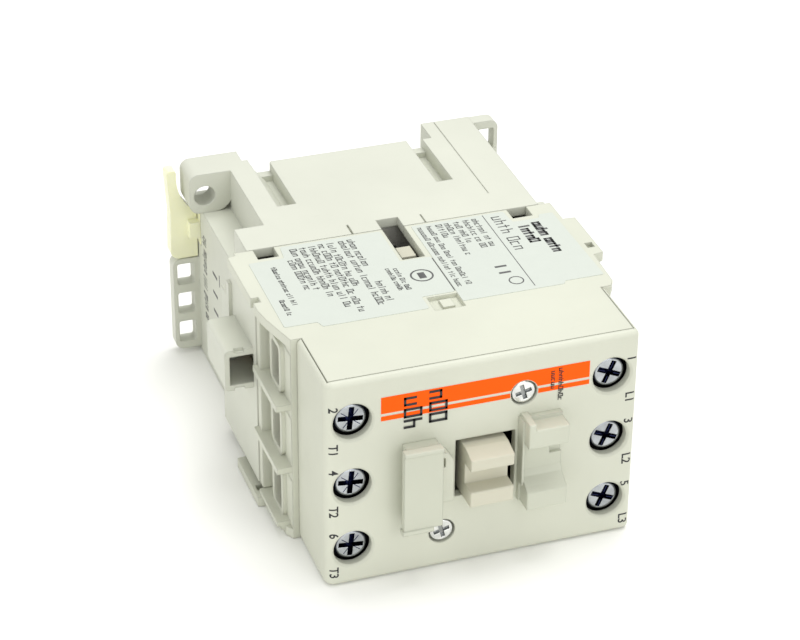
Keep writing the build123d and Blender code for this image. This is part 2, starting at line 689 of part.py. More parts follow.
def coil_bobbin():
    with BuildPart() as bobbin:
        tube_x = centre_leg_half + 0.3
        tube_z = stack_half + 0.3
        for y in (bobbin_front_y, bobbin_back_y - bobbin_flange):
            slab((-bobbin_half_x, bobbin_half_x), (y, y + bobbin_flange),
                 (-bobbin_half_z, bobbin_half_z))
        slab((-tube_x - tube_wall, tube_x + tube_wall), (bobbin_front_y, bobbin_back_y),
             (-tube_z - tube_wall, tube_z + tube_wall))
        slab((-tube_x, tube_x), (bobbin_front_y, bobbin_back_y), (-tube_z, tube_z), Mode.SUBTRACT)
        flange_corners = bobbin.edges().filter_by(Axis.Y).filter_by(
            lambda e: abs(e.center().X) > bobbin_half_x - 0.1)
        fillet(flange_corners, radius=1.5)
        # side wings that rest on the coil housing
        for side in (-1, 1):
            slab((-9.0, 9.0), (bobbin_front_y, bobbin_front_y + bobbin_flange),
                 both(side, bobbin_half_z, width / 2 - wall))
    return bobbin.part


def coil_winding():
    with BuildPart() as winding:
        tube_x = centre_leg_half + 0.3 + tube_wall
        tube_z = stack_half + 0.3 + tube_wall
        ys = (bobbin_front_y + bobbin_flange, bobbin_back_y - bobbin_flange)
        slab((-bobbin_half_x + 0.8, bobbin_half_x - 0.8), ys,
             (-bobbin_half_z + 0.8, bobbin_half_z - 0.8))
        slab((-tube_x, tube_x), ys, (-tube_z, tube_z), Mode.SUBTRACT)
        outer = winding.edges().filter_by(Axis.Y).filter_by(
            lambda e: abs(e.center().X) > bobbin_half_x - 1.0)
        fillet(outer, radius=2.5)
    return winding.part


def armature_pin():
    with BuildPart() as pin:
        with BuildSketch(Plane(origin=(0, pin_y, -stack_half - 2.2), z_dir=(0, 0, 1))):
            Circle(pin_d / 2)
        extrude(amount=2 * stack_half + 4.4)
    return pin.part


# ================================================================ contacts
def bridge_contacts():
    with BuildPart() as bridges:
        for z in pole_rows:
            slab((-bridge_length / 2, bridge_length / 2), (bridge_front_y, bridge_back_y),
                 (z - bridge_width / 2, z + bridge_width / 2))
            rod(0, z, bridge_front_y - 0.8, bridge_front_y, 2.2)
        ends = bridges.edges().filter_by(Axis.Y).filter_by(
            lambda e: abs(e.center().X) > bridge_length / 2 - 0.1)
        fillet(ends, radius=1.2)
    return bridges.part


def contact_tips(front_y):
    """Six silver tips, three poles by two ends, from front_y backwards."""
    with BuildPart() as tips:
        for z in pole_rows:
            for side in (-1, 1):
                slab(both(side, tip_x - tip_length / 2, tip_x + tip_length / 2),
                     (front_y, front_y + tip_height), (z - tip_width / 2, z + tip_width / 2))
    return tips.part


def terminal_bars(side):
    """Three terminal bars of one end, from the clamp to the fixed contact."""
    with BuildPart() as bars:
        for z in pole_rows:
            zs = (z - bar_width / 2, z + bar_width / 2)
            slab(both(side, 18.1, bay_end_x - 0.3), (bar_top_y, bar_top_y + bar_thick), zs)
            slab(both(side, 18.1, 19.9), (bar_top_y, fixed_bar_floor_y), zs)
            slab(both(side, tip_x - tip_length / 2 - 0.5, 19.9),
                 (fixed_bar_y, fixed_bar_floor_y), zs)
    return bars.part


def terminal_screw(x, z, face, head_d, head_h, shank_d, end_y, recess_turn):
    """Pan head screw with a cross recess; the head face is at face."""
    with BuildPart() as screw:
        rod(x, z, face, face + head_h, head_d)
        rim = screw.edges().filter_by(GeomType.CIRCLE).sort_by(Axis.Y)[0]
        fillet(rim, radius=min(0.9, head_h * 0.4))
        rod(x, z, face + head_h, end_y, shank_d)
        slot = head_d * 0.74
        for turn in (recess_turn, recess_turn + 90):
            with BuildSketch(Plane.XZ.offset(-face)):
                with Locations(Location((x, z, 0), (0, 0, turn))):
                    Rectangle(slot, head_d * 0.155)
            extrude(amount=-1.5, mode=Mode.SUBTRACT)
        tip = screw.edges().filter_by(GeomType.CIRCLE).sort_by(Axis.Y)[-1]
        chamfer(tip, length=0.4)
    return screw.part


def terminal_clamp(x, z):
    """Rectangular cage with a threaded front wall and a jaw behind the wire."""
    with BuildPart() as cage:
        xs = (x - clamp_length / 2, x + clamp_length / 2)
        zs = (z - clamp_width / 2, z + clamp_width / 2)
        slab(xs, (clamp_top_y, clamp_jaw_y + clamp_jaw), zs)
        fillet(cage.edges().filter_by(Axis.X), radius=1.0)
        slab(xs, (clamp_top_y + clamp_nut, clamp_jaw_y),
             (zs[0] + clamp_side, zs[1] - clamp_side), Mode.SUBTRACT)
        rod(x, z, clamp_top_y, clamp_top_y + clamp_nut, screw_d + fit_gap, Mode.SUBTRACT)
    return cage.part


def arc_plates():
    with BuildPart() as plates:
        half = bay_height / 2 - 0.5
        for z in pole_rows:
            for side in (-1, 1):
                for step in range(4):
                    y = front_y + 6.6 + 3.0 * step
                    slab(both(side, 14.8, 18.6), (y, y + 0.8), (z - half, z + half))
    return plates.part


# ================================================================ coil terminals
def coil_strip(turn):
    """Strip from the coil terminal screw to the coil."""
    with BuildPart() as strip:
        slab(both(-turn, 24.2, 38.7), (-47.4, -46.4), both(turn, 3.3, 8.7))
        slab(both(-turn, 24.2, 25.2), (-46.4, -31.0), both(turn, 3.3, 8.7))
        # lead that passes beside the magnet legs to the winding
        slab(both(-turn, 24.2, 25.2), (-31.6, -31.0), both(turn, 8.0, 10.4))
        slab(both(-turn, bobbin_half_x - 0.8, 25.2), (-31.6, -31.0), both(turn, 9.3, 10.4))
        rod(-turn * 36.3, turn * coil_screw_z, -47.4, -46.4, 3.0, Mode.SUBTRACT)
    return strip.part


def cover_screws():
    with BuildPart() as screws:
        for x, z in cover_screw_spots:
            rod(x, z, cover_screw_y, front_y + 1.3, 4.8)
            rod(x, z, front_y + 1.3, front_y + 7.6, 2.6)
        rims = screws.edges().filter_by(GeomType.CIRCLE).group_by(Axis.Y)[0]
        fillet(rims, radius=0.4)
        for x, z in cover_screw_spots:
            for turn in (15, 105):
                with BuildSketch(Plane.XZ.offset(-cover_screw_y)):
                    with Locations(Location((x, z, 0), (0, 0, turn))):
                        Rectangle(3.2, 0.8)
                extrude(amount=-0.7, mode=Mode.SUBTRACT)
    return screws.part


# ================================================================ labels
def flat_label(points, thickness=0.1):
    """Thin label with rounded corners, lying on the top of the housing."""
    with BuildPart() as label:
        with BuildSketch(Plane.XY.offset(width / 2)) as outline:
            with BuildLine():
                Polyline(*points, points[0])
            make_face()
            fillet(outline.vertices(), radius=0.4)
        extrude(outline.sketch, amount=thickness)
    return label.part


def front_stripe():
    """Wide and narrow orange bars printed across the cover face."""
    face = -front_depth
    with BuildPart() as stripe:
        for z0, z1 in ((14.4, 17.9), (12.85, 13.8)):
            slab((-20.1, 20.8), (face - 0.08, face), (z0, z1))
        x, z = cover_screw_spots[0]
        rod(x, z, face - 1, face + 1, 5.6, Mode.SUBTRACT)
    return stripe.part


save(front_cover(), "front_cover")
save(left_front_rail(), "left_front_rail")
save(right_front_hook(), "right_front_hook")
save(contact_housing(), "contact_housing")
save(base_housing(), "base_housing")
save(din_latch(), "rail_latch")
spring_start = latch_window[0] + 0.15 + post_thick
save(coil_spring((spring_start, latch_y, latch_z), (1, 0, 0),
                 latch_window[1] - spring_start, 1.3, 0.4, 6), "latch_spring")

save(contact_carrier(), "contact_carrier")
save(e_core(armature_front_y, armature_front_y + yoke, armature_leg_y, "armature"), "armature")
save(armature_pin(), "armature_pin")
save(e_core(core_back_y, core_back_y - yoke, core_leg_y, "fixed_magnet"), "fixed_magnet")
save(shading_rings(), "shading_rings")
save(magnet_pads(), "magnet_pads")
save(coil_bobbin(), "coil_bobbin")
save(coil_winding(), "coil_winding")
for spot, z in (("upper", 13.8), ("lower", -13.8)):
    save(coil_spring((0, head_back_y, z), (0, 1, 0), bobbin_front_y - head_back_y,
                     2.6, 0.6, 6), f"return_spring_{spot}")

save(bridge_contacts(), "bridge_contacts")
save(contact_tips(bridge_back_y), "bridge_contact_tips")
save(contact_tips(fixed_bar_y - tip_height), "fixed_contact_tips")
for pole, z in enumerate(pole_rows, start=1):
    save(coil_spring((0, window_front_y, z), (0, 1, 0), bridge_front_y - window_front_y,
                     2.4, 0.55, 5), f"contact_spring_{pole}")
save(terminal_bars(-1), "load_terminal_bars")
save(terminal_bars(1), "line_terminal_bars")
save(arc_plates(), "arc_plates")
for side, letter in ((-1, "t"), (1, "l")):
    for pole, z in enumerate(pole_rows, start=1):
        x = side * terminal_x
        save(terminal_screw(x, z, screw_face_y, screw_head_d, screw_head_h, screw_d,
                            bar_top_y - 0.1, -24 if side > 0 else -6),
             f"terminal_screw_{letter}{pole}")
        save(terminal_clamp(x, z), f"terminal_clamp_{letter}{pole}")
for turn, number in ((-1, 1), (1, 2)):
    save(coil_strip(turn), f"coil_terminal_strip_a{number}")
    save(terminal_screw(-turn * 36.3, turn * coil_screw_z, -50.2, 4.8, 2.0, 2.8, -45.9, 45),
         f"coil_terminal_screw_a{number}")
save(cover_screws(), "cover_screws")
save(front_stripe(), "front_stripe")
save(flat_label([(-31.6, -46.2), (-24.4, -46.2), (-24.0, -41.9), (-3.4, -41.9), (-3.4, -54.4),
                 (2.8, -54.4), (2.8, -68.4), (-3.9, -68.4), (-3.9, -72.8), (-24.8, -72.8),
                 (-25.4, -71.0), (-31.8, -71.0)]), "load_side_label")
save(flat_label([(3.1, -41.9), (22.6, -41.9), (23.0, -46.5), (28.6, -46.5), (29.0, -45.2),
                 (31.9, -45.2), (32.3, -71.2), (24.3, -71.2), (23.7, -72.2), (3.1, -72.2)]),
     "line_side_label")
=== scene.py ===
"""Looks, marks, light and camera for the motor starter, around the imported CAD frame."""
import json
import math
import random

import bmesh
import bpy
from mathutils import Matrix, Vector
from mathutils.bvhtree import BVHTree


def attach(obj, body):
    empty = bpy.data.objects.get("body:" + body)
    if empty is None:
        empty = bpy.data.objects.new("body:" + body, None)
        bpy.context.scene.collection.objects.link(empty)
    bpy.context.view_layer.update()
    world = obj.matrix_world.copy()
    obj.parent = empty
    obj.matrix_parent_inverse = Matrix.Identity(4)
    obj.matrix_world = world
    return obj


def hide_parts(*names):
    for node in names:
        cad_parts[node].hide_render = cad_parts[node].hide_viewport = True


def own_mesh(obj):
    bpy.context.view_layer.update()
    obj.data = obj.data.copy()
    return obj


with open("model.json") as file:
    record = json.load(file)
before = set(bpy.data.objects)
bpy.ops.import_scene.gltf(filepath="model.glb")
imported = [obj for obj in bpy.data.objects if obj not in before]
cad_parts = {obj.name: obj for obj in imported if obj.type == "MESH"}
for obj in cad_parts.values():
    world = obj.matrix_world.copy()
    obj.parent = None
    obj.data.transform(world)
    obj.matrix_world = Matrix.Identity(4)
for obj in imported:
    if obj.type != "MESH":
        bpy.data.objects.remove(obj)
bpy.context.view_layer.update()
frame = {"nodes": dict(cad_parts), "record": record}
nodes = frame["nodes"]

MM = 0.001
SEAT = 6.5                      # the origin is the rail seat, this far in front of the back
COVER_Y = -92.6 + SEAT          # face of the front cover
SCREW_Y = -91.1 + SEAT          # face of the terminal screws
COVER_SCREW_Y = -92.35 + SEAT   # face of the cover screws
TOP_Z = 22.5                    # top of the housings
LABEL_Z = TOP_Z + 0.1           # top of the stickers
LOAD_WALL_X = -30.5             # load side wall of the coil housing
SCREW_X = 25.45                 # terminal screws from the middle
ROWS = (13.6, -0.5, -14.6)      # heights of the three poles
INK = 0.03                      # thickness of a printed mark
random.seed(7)


# ------------------------------------------------------------------ node helpers
class Shader:
    """One material being built: small wrappers round its nodes and links."""

    def __init__(self, name):
        self.material = bpy.data.materials.new(name)
        self.material.use_nodes = True
        self.tree = self.material.node_tree
        self.bsdf = self.tree.nodes["Principled BSDF"]
        coordinates = self.tree.nodes.new("ShaderNodeTexCoord")
        self.place = coordinates.outputs["Object"]

    def node(self, kind, **values):
        made = self.tree.nodes.new(kind)
        for key, value in values.items():
            if key in made.inputs:
                made.inputs[key].default_value = value
            else:
                setattr(made, key, value)
        return made

    def link(self, source, target):
        self.tree.links.new(source, target)

    def noise(self, scale, detail=3.0, rough=0.55, stretch=None):
        made = self.node("ShaderNodeTexNoise", Scale=scale, Detail=detail, Roughness=rough)
        if stretch:
            mapping = self.node("ShaderNodeMapping")
            mapping.inputs["Scale"].default_value = stretch
            self.link(self.place, mapping.inputs["Vector"])
            self.link(mapping.outputs["Vector"], made.inputs["Vector"])
        else:
            self.link(self.place, made.inputs["Vector"])
        return made.outputs["Fac"]

    def ramp(self, factor, stops):
        made = self.node("ShaderNodeValToRGB")
        band = made.color_ramp
        while len(band.elements) < len(stops):
            band.elements.new(0.5)
        for element, (place, colour) in zip(band.elements, stops):
            element.position = place
            element.color = (*colour, 1)
        self.link(factor, made.inputs["Fac"])
        return made.outputs["Color"]

    def mix(self, factor, first, second):
        made = self.node("ShaderNodeMix", data_type="RGBA")
        sockets = [s for s in made.inputs if s.enabled]
        for socket, value in zip(sockets, (factor, first, second)):
            if hasattr(value, "links"):
                self.link(value, socket)
            else:
                socket.default_value = (*value, 1)
        return [s for s in made.outputs if s.enabled][0]

    def span(self, factor, low, high):
        made = self.node("ShaderNodeMapRange")
        made.inputs["To Min"].default_value = low
        made.inputs["To Max"].default_value = high
        self.link(factor, made.inputs["Value"])
        return made.outputs["Result"]

    def bump(self, height, strength, distance, edge=0.0):
        """Surface relief; edge is the radius of softly rounded edges in metres."""
        made = self.node("ShaderNodeBump", Strength=strength, Distance=distance)
        self.link(height, made.inputs["Height"])
        if edge:
            rounded = self.node("ShaderNodeBevel", samples=6, Radius=edge)
            self.link(rounded.outputs["Normal"], made.inputs["Normal"])
        self.link(made.outputs["Normal"], self.bsdf.inputs["Normal"])


def shade(colour, factor):
    return tuple(min(1.0, channel * factor) for channel in colour)


def inner_space(s, half_x, half_z, front_y, back_y):
    """1 inside a box round the middle of the device, 0 outside; limits in mm."""
    place = s.node("ShaderNodeSeparateXYZ")
    s.link(s.place, place.inputs["Vector"])
    result = None
    for axis, middle, half in (("X", 0.0, half_x), ("Z", 0.0, half_z),
                               ("Y", (front_y + back_y) / 2, (back_y - front_y) / 2)):
        near = s.node("ShaderNodeMath", operation="COMPARE")
        s.link(place.outputs[axis], near.inputs[0])
        near.inputs[1].default_value = middle * MM
        near.inputs[2].default_value = half * MM
        if result is None:
            result = near.outputs["Value"]
        else:
            both = s.node("ShaderNodeMath", operation="MULTIPLY")
            s.link(result, both.inputs[0])
            s.link(near.outputs["Value"], both.inputs[1])
            result = both.outputs["Value"]
    return result


MOTTLE = 0.035                  # tone change of moulded plastic, either way
INNER_TONE = 0.015              # how much of its colour an inner wall keeps under the painted shade


def moulded(name, colour, rough=0.5, inside=None):
    """Moulded plastic: soft mottling, a fine spark-eroded grain and handling dust.

    inside gives the limits of the inner space, whose walls get painted shade, nearly black."""
    s = Shader(name)
    cloud = s.noise(38, 4)
    tone = s.ramp(cloud, [(0.3, shade(colour, 1 - MOTTLE)), (0.7, shade(colour, 1 + MOTTLE))])
    dust = s.noise(190, 5, 0.7)
    speck = s.ramp(dust, [(0.0, (0, 0, 0)), (0.66, (0, 0, 0)), (0.78, (0.5, 0.5, 0.5))])
    dust_and_shade = s.mix(speck, tone, shade(colour, 0.9))
    if inside:
        # painted shade: inner walls inside the box turn nearly black
        dust_and_shade = s.mix(inner_space(s, *inside), dust_and_shade, shade(colour, INNER_TONE))
    s.link(dust_and_shade, s.bsdf.inputs["Base Color"])
    s.link(s.span(s.noise(260, 3), rough - 0.06, rough + 0.08), s.bsdf.inputs["Roughness"])
    s.bsdf.inputs["Specular IOR Level"].default_value = 0.35
    s.bump(s.noise(2600, 2), 0.25, 0.00003, edge=0.0004)
    return s.material


PATCHES = 0.12                  # tone change of plated metal, either way
SCRATCHES = 0.1                 # roughness change along scratches, either way


def metal(name, colour, rough=0.3):
    """Plated or drawn metal with fine scratches and patchy tone."""
    s = Shader(name)
    patch = s.noise(240, 4)
    tone = s.ramp(patch, [(0.25, shade(colour, 1 - PATCHES)), (0.75, shade(colour, 1 + PATCHES))])
    s.link(tone, s.bsdf.inputs["Base Color"])
    s.bsdf.inputs["Metallic"].default_value = 1.0
    lines = s.noise(900, 5, 0.6)
    s.link(s.span(lines, rough - SCRATCHES, rough + SCRATCHES), s.bsdf.inputs["Roughness"])
    s.bump(lines, 0.15, 0.00002)
    return s.material


SHADE_FROM, SHADE_TO = 0.04, 0.22  # the painted shade of a screw recess comes in between these depths


def recessed(name, face_colour, recess_shade_colour, face_y, rough=0.22):
    """Bright screw face, with painted shade in the recess and down the rim."""
    s = Shader(name)
    parts = s.node("ShaderNodeSeparateXYZ")
    s.link(s.place, parts.inputs["Vector"])
    depth = s.node("ShaderNodeMapRange")
    depth.inputs["From Min"].default_value = (face_y + SHADE_FROM) * MM
    depth.inputs["From Max"].default_value = (face_y + SHADE_TO) * MM
    s.link(parts.outputs["Y"], depth.inputs["Value"])
    patch = s.ramp(s.noise(420, 4),
                   [(0.3, shade(face_colour, 0.8)), (0.7, shade(face_colour, 1.2))])
    s.link(s.mix(depth.outputs["Result"], patch, recess_shade_colour), s.bsdf.inputs["Base Color"])
    s.bsdf.inputs["Metallic"].default_value = 1.0
    s.link(s.span(s.noise(900, 5, 0.6, (1, 1, 4)), rough - 0.06, rough + 0.1),
           s.bsdf.inputs["Roughness"])
    s.bump(s.noise(700, 3), 0.35, 0.00004, edge=0.0002)
    return s.material


def printed(name, colour, rough=0.45, spread=0.05, gloss=0.4):
    """Printed film or ink with slight unevenness in coverage."""
    s = Shader(name)
    cover = s.noise(420, 4, 0.6)
    tone = s.ramp(cover, [(0.25, shade(colour, 1 - spread)), (0.8, shade(colour, 1 + spread))])
    s.link(tone, s.bsdf.inputs["Base Color"])
    s.link(s.span(s.noise(150, 3), rough - 0.05, rough + 0.08), s.bsdf.inputs["Roughness"])
    s.bsdf.inputs["Specular IOR Level"].default_value = gloss
    s.bump(s.noise(1500, 2), 0.1, 0.00001)
    return s.material


def natural_nylon(name):
    """Slightly translucent pale yellow nylon."""
    s = Shader(name)
    cloud = s.noise(60, 4)
    tone = s.ramp(cloud, [(0.3, (0.80, 0.80, 0.55)), (0.7, (0.87, 0.87, 0.64))])
    s.link(tone, s.bsdf.inputs["Base Color"])
    s.link(s.span(s.noise(300, 3), 0.32, 0.45), s.bsdf.inputs["Roughness"])
    s.bsdf.inputs["Subsurface Weight"].default_value = 0.25
    s.bsdf.inputs["Subsurface Radius"].default_value = (0.004, 0.004, 0.002)
    s.bump(s.noise(1400, 2), 0.15, 0.00003)
    return s.material


def laminated(name):
    """Stacked steel sheets, seen as fine lines across the thickness."""
    s = Shader(name)
    wave = s.node("ShaderNodeTexWave", Scale=620.0, Distortion=0.4, bands_direction="Z")
    s.link(s.place, wave.inputs["Vector"])
    tone = s.ramp(wave.outputs["Fac"], [(0.0, (0.16, 0.16, 0.17)), (0.5, (0.34, 0.34, 0.36)),
                                        (1.0, (0.42, 0.42, 0.44))])
    rust = s.mix(s.ramp(s.noise(90, 5), [(0.6, (0, 0, 0)), (0.8, (0.5, 0.5, 0.5))]), tone,
                 (0.20, 0.13, 0.09))
    s.link(rust, s.bsdf.inputs["Base Color"])
    s.bsdf.inputs["Metallic"].default_value = 0.9
    s.link(s.span(s.noise(500, 3), 0.35, 0.55), s.bsdf.inputs["Roughness"])
    s.bump(wave.outputs["Fac"], 0.3, 0.00004)
    return s.material


def wound(name):
    """Enamelled copper wire in layers."""
    s = Shader(name)
    wave = s.node("ShaderNodeTexWave", Scale=900.0, Distortion=0.6, bands_direction="Y")
    s.link(s.place, wave.inputs["Vector"])
    tone = s.ramp(wave.outputs["Fac"], [(0.0, (0.10, 0.03, 0.01)), (1.0, (0.55, 0.20, 0.07))])
    s.link(tone, s.bsdf.inputs["Base Color"])
    s.bsdf.inputs["Metallic"].default_value = 0.6
    s.link(s.span(s.noise(300, 3), 0.25, 0.4), s.bsdf.inputs["Roughness"])
    s.bump(wave.outputs["Fac"], 0.6, 0.0001)
    return s.material


# ------------------------------------------------------------------ materials
# both housings get painted shade, nearly black, on their inner walls within these limits in mm
housing = moulded("housing_grey", (0.585, 0.597, 0.502), inside=(29.6, 20.3, -84.15, -34.8))
base_grey = moulded("base_grey", (0.585, 0.597, 0.515), inside=(22.7, 19.0, -34.9, -2.1))
front_grey = moulded("front_grey", (0.525, 0.54, 0.447))
cream = moulded("carrier_cream", (0.555, 0.54, 0.435), rough=0.42)
nylon = natural_nylon("latch_nylon")
label_film = printed("label_film", (0.565, 0.60, 0.545), rough=0.38, spread=0.015)
orange = printed("orange_print", (1.0, 0.108, 0.002), rough=0.5, spread=0.02, gloss=0.1)
black_ink = printed("black_ink", (0.02, 0.02, 0.022), rough=0.5, spread=0.3)
grey_ink = printed("grey_ink", (0.10, 0.10, 0.10), rough=0.5, spread=0.3)
# terminal and cover screws get painted shade in their recesses and down their rims
dark_screw = recessed("dark_screw", (0.40, 0.42, 0.44), (0.010, 0.013, 0.045), SCREW_Y)
zinc = metal("zinc_steel", (0.66, 0.67, 0.68), rough=0.24)
zinc_recess = recessed("zinc_recess", (0.74, 0.75, 0.74), (0.3, 0.31, 0.31), COVER_SCREW_Y, 0.16)
spring_wire = metal("spring_steel", (0.42, 0.42, 0.44), rough=0.3)
copper = metal("copper", (0.72, 0.38, 0.22), rough=0.3)
silver = metal("silver_contact", (0.75, 0.74, 0.72), rough=0.35)
magnet = laminated("magnet_steel")
winding = wound("enamelled_copper")
bobbin = moulded("bobbin_nylon", (0.70, 0.69, 0.62), rough=0.45)
rubber = moulded("pad_rubber", (0.02, 0.02, 0.02), rough=0.8)
# deep_blue is painted shade for the fine ticks in the screw recesses
deep_blue = metal("deep_blue", (0.02, 0.025, 0.07), rough=0.3)

BY_SLOT = {
    "housing_grey": housing, "base_grey": base_grey, "front_grey": front_grey,
    "carrier_cream": cream, "latch_nylon": nylon, "magnet_steel": magnet,
    "dark_screw": dark_screw, "zinc_steel": zinc, "spring_steel": spring_wire,
    "copper": copper, "enamelled_copper": winding, "bobbin_nylon": bobbin,
    "pad_rubber": rubber, "silver_contact": silver, "orange_print": orange,
    "label_film": label_film,
}


def dress(obj, material):
    obj.data.materials.clear()
    obj.data.materials.append(material)


for part in frame["record"]["subparts"]:
    dress(nodes[part["node"]], BY_SLOT[part["material_slot"]])
dress(nodes["cover_screws"], zinc_recess)


# ------------------------------------------------------------------ added pieces
def new_mesh(name, points, faces, material, body):
    mesh = bpy.data.meshes.new(name)
    mesh.from_pydata([tuple(c * MM for c in p) for p in points], [], faces)
    mesh.update()
    obj = bpy.data.objects.new(name, mesh)
    bpy.context.scene.collection.objects.link(obj)
    dress(obj, material)
    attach(obj, body)


def box_faces(first):
    quads = ((0, 3, 2, 1), (4, 5, 6, 7), (0, 1, 5, 4), (1, 2, 6, 5), (2, 3, 7, 6), (3, 0, 4, 7))
    return [tuple(first + i for i in quad) for quad in quads]


def bars(name, boxes, material):
    """Many small boxes, each (low corner, high corner) in mm, as one piece."""
    points, faces = [], []
    for (x0, y0, z0), (x1, y1, z1) in boxes:
        faces += box_faces(len(points))
        points += [(x0, y0, z0), (x1, y0, z0), (x1, y1, z0), (x0, y1, z0),
                   (x0, y0, z1), (x1, y0, z1), (x1, y1, z1), (x0, y1, z1)]
    new_mesh(name, points, faces, material, "housing_group")


# Strokes of made-up letters, (along, along, up, up) in letter heights.
GLYPHS = (
    ((0, 0.14, 0, 0.7), (0.38, 0.52, 0, 0.7), (0, 0.52, 0, 0.13), (0, 0.52, 0.57, 0.7)),
    ((0, 0.14, 0, 0.7), (0.38, 0.52, 0, 0.7), (0, 0.52, 0.57, 0.7)),
    ((0, 0.14, 0, 0.7), (0.38, 0.52, 0, 0.7), (0, 0.52, 0, 0.13)),
    ((0.16, 0.30, 0, 1.0),),
    ((0.15, 0.29, 0, 0.95), (0, 0.46, 0.57, 0.7)),
    ((0, 0.14, 0, 0.7), (0, 0.48, 0, 0.13), (0, 0.48, 0.57, 0.7)),
    ((0, 0.14, 0, 1.0), (0.38, 0.52, 0, 0.57), (0, 0.52, 0.5, 0.63)),
    ((0, 0.14, 0, 1.0), (0.42, 0.56, 0, 1.0), (0, 0.56, 0, 0.13), (0, 0.56, 0.87, 1.0)),
)


LETTER_STEP = 0.68              # from one letter to the next, in letter heights
WORD_GAP = 0.5                  # extra room between words, in letter heights
BOLD_STROKE = 0.07              # growth of a stroke at double weight, in letter heights


def print_row(x, y_start, y_end, height, weight=1.0):
    """Boxes for one row of unreadable print that runs towards the front."""
    boxes = []
    z0 = LABEL_Z
    y = y_start
    while y > y_end + height:
        for _ in range(random.randint(2, 7)):
            if y < y_end + height * 0.6:
                break
            for a0, a1, u0, u1 in random.choice(GLYPHS):
                spread = BOLD_STROKE * (weight - 1.0)
                boxes.append(((x + (u0 - spread) * height, y - (a1 + spread) * height, z0),
                              (x + (u1 + spread) * height, y - (a0 - spread) * height, z0 + INK)))
            y -= height * LETTER_STEP
        y -= height * WORD_GAP
    return boxes


def print_block(name, rows, material):
    """One printed block; rows are (middle x, start y, end y, letter height, weight)."""
    boxes = []
    for x, y_start, y_end, height, weight in rows:
        boxes += print_row(x - height * 0.4, y_start + SEAT, y_end + SEAT, height, weight)
    bars(name, boxes, material)


def ring(name, x, y, outer, inner, material):
    """Flat printed ring on a top label."""
    points, faces = [], []
    steps = 40
    z0 = LABEL_Z
    for step in range(steps):
        angle = 2 * math.pi * step / steps
        for radius, z in ((outer, z0), (inner, z0), (inner, z0 + INK), (outer, z0 + INK)):
            points.append((x + radius * math.cos(angle), y + SEAT + radius * math.sin(angle), z))
    for step in range(steps):
        here, there = 4 * step, 4 * ((step + 1) % steps)
        for k in range(4):
            faces.append((here + k, here + (k + 1) % 4, there + (k + 1) % 4, there + k))
    new_mesh(name, points, faces, material, "housing_group")


print_block("load_label_print", [
    (-10.2, -43.2, -56.0, 1.5, 1.0), (-10.0, -60.3, -69.0, 1.5, 1.0),
    (-12.0, -43.3, -71.0, 1.5, 1.0), (-14.4, -43.2, -61.0, 1.5, 1.0),
    (-16.2, -43.2, -70.6, 1.5, 1.0), (-18.2, -43.3, -69.2, 1.5, 1.0),
    (-20.1, -43.4, -65.2, 1.5, 1.0), (-22.0, -43.4, -60.5, 1.5, 1.0),
    (-23.6, -47.5, -60.0, 1.4, 1.0), (-27.6, -49.0, -64.3, 1.0, 1.3),
    (-29.6, -61.4, -67.3, 1.0, 1.3), (-5.3, -56.7, -65.5, 1.0, 1.2),
    (-6.8, -56.3, -65.8, 1.0, 1.2)], grey_ink)
print_block("line_label_print", [
    (4.4, -43.0, -67.4, 1.15, 1.0), (6.3, -43.0, -67.2, 1.15, 1.0),
    (8.3, -43.0, -49.6, 1.35, 1.0), (10.1, -43.0, -57.0, 1.35, 1.0),
    (12.0, -43.0, -52.5, 1.35, 1.0), (14.0, -43.0, -55.2, 1.35, 1.0),
    (15.9, -43.0, -55.0, 1.35, 1.0), (20.4, -43.4, -61.6, 2.7, 0.7)], grey_ink)
print_block("line_label_heading", [(27.2, -48.0, -63.2, 2.1, 1.9), (24.2, -48.4, -56.4, 2.1, 1.9)],
            grey_ink)
ring("load_label_ring", -1.2, -60.8, 2.3, 1.95, grey_ink)
ring("line_label_ring", 15.4, -68.2, 1.5, 1.25, grey_ink)


def label_box(xs, ys, z_low=LABEL_Z, z_high=LABEL_Z + INK):
    """Low and high corner of a flat printed box on a top label."""
    return ((xs[0], ys[0] + SEAT, z_low), (xs[1], ys[1] + SEAT, z_high))


bars("label_blocks", [label_box((-1.9, -0.5), (-61.9, -59.7)),
                      label_box((13.2, 15.6), (-65.0, -64.4)),
                      label_box((13.2, 15.6), (-62.6, -62.0))], grey_ink)
bars("label_rules", [label_box((18.0, 18.15), (-71.2, -42.2)),
                     label_box((2.86, 3.04), (-68.0, -55.0), TOP_Z + 0.02, TOP_Z + 0.05)],
     grey_ink)


def side_print(name, y_middle, z_start, z_end, tall, step):
    """Column of unreadable print down the load side wall, letter tops to the back."""
    boxes = []
    wide = step * 1.4
    z = z_start
    while z > z_end + step:
        for _ in range(random.randint(3, 8)):
            if z < z_end + step:
                break
            for a0, a1, u0, u1 in random.choice(GLYPHS):
                low_y = y_middle + SEAT + (u0 - 0.5) * tall
                high_y = y_middle + SEAT + (u1 - 0.5) * tall
                boxes.append(((LOAD_WALL_X - INK, low_y, z - a1 * wide),
                              (LOAD_WALL_X, high_y, z - a0 * wide)))
            z -= step
        z -= step
    bars(name, boxes, grey_ink)


def side_box(ys, zs):
    """Low and high corner of a flat printed box on the load side wall."""
    return ((LOAD_WALL_X - INK, ys[0] + SEAT, zs[0]), (LOAD_WALL_X, ys[1] + SEAT, zs[1]))


side_print("load_side_print", -7.9, 8.0, -12.4, 3.0, 0.8)
DASH_HALF = 0.32                # half the thickness of a printed dash
side_marks = [side_box((-17.6, -14.2), (z - DASH_HALF, z + DASH_HALF)) for z in (3.0, -1.5, -5.9)]
side_marks.append(side_box((-19.6, -19.2), (2.2, 4.9)))
bars("load_side_dashes", side_marks, grey_ink)


FACE_PRINT_Y = COVER_Y - 0.11   # just in front of the printed stripe


